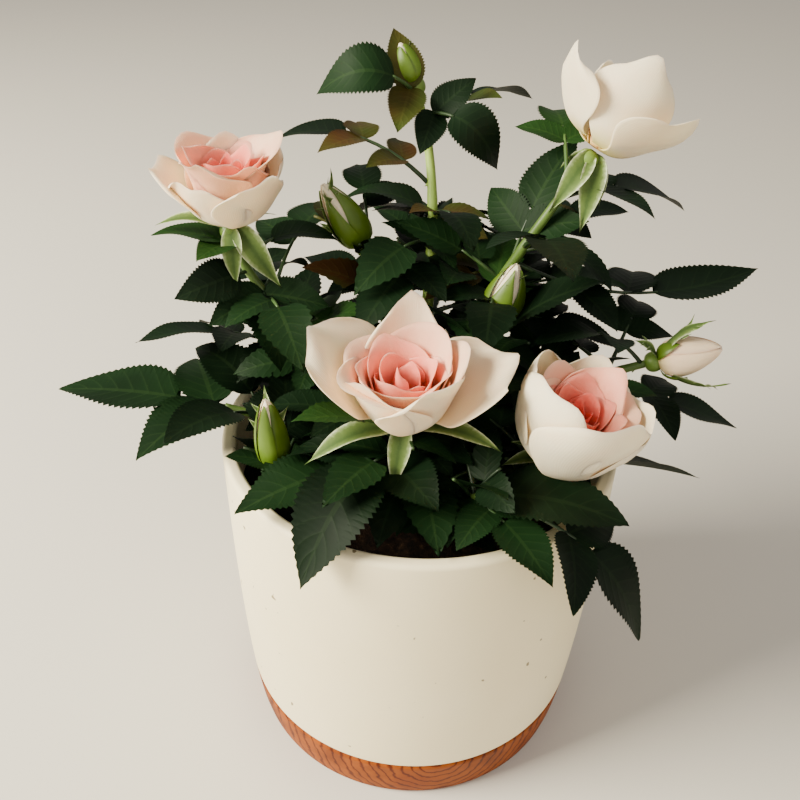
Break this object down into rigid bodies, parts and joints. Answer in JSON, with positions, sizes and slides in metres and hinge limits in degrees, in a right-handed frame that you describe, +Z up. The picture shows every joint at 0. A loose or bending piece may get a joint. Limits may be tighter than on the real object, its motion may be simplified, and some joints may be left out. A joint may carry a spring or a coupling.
{
  "type": "potted miniature rose",
  "caption": "Bushy miniature rose with open cream and pink blooms and buds, in a round white pot set on a turned wooden base.",
  "frame": {"origin": "middle of the wooden base's flat underside, where the pot stands", "axes": "+Z up along the pot's axis; -Y towards the side with the large front bloom, the side it is seen from; +X to the right from there"},
  "size_m": [0.2316, 0.1742, 0.2348],
  "materials": {
    "glaze": "matt",
    "wood": "oiled, with a visible grain",
    "earth": "loose potting mix",
    "bark": "green bark",
    "leaves": "satin leaf",
    "petals": "matt petal"
  },
  "bodies": {
    "root": {"base": "wood", "bloom_front": "petals", "bloom_left": "petals", "bloom_right": "petals", "bloom_right_front": "petals", "bloom_tall_right": "petals", "cane_back": "bark", "cane_back_left": "bark", "cane_back_low_left": "bark", "cane_back_right": "bark", "cane_centre": "bark", "cane_far_left": "bark", "cane_front": "bark", "cane_front_right": "bark", "cane_left": "bark", "cane_left_low": "bark", "cane_right": "bark", "cane_right_front": "bark", "cane_tall_back": "bark", "cane_tall_right": "bark", "foliage_back": "leaves", "foliage_back_left": "leaves", "foliage_back_low_left": "leaves", "foliage_back_right": "leaves", "foliage_centre": "leaves", "foliage_far_left": "leaves", "foliage_front": "leaves", "foliage_front_right": "leaves", "foliage_left": "leaves", "foliage_left_low": "leaves", "foliage_right": "leaves", "foliage_right_front": "leaves", "foliage_tall_back": "leaves", "foliage_tall_right": "leaves", "pot": "glaze", "soil": "earth"}
  },
  "joints": []
}
